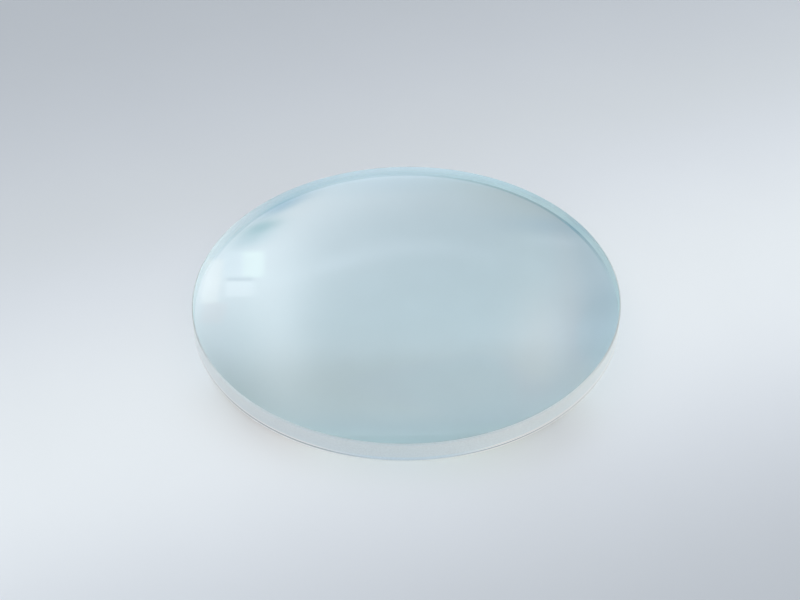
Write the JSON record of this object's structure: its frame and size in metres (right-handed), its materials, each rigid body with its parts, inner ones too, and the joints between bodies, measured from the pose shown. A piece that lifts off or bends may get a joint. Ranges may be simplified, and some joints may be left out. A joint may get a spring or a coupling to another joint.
{
  "type": "plano-convex lens",
  "caption": "Round plano-convex glass lens: one spherical face, one flat face and a fine-ground edge with narrow protective bevels.",
  "frame": {"origin": "centre of the flat face, where the optical axis meets it", "axes": "+Z along the optical axis, from the flat face towards the convex face; X and Y lie in the flat face, and the lens is the same all round"},
  "size_m": [0.0508, 0.0508, 0.0056],
  "materials": {
    "optical_glass": "gloss"
  },
  "bodies": {
    "root": {"plano_convex_lens": "optical_glass"}
  },
  "joints": []
}
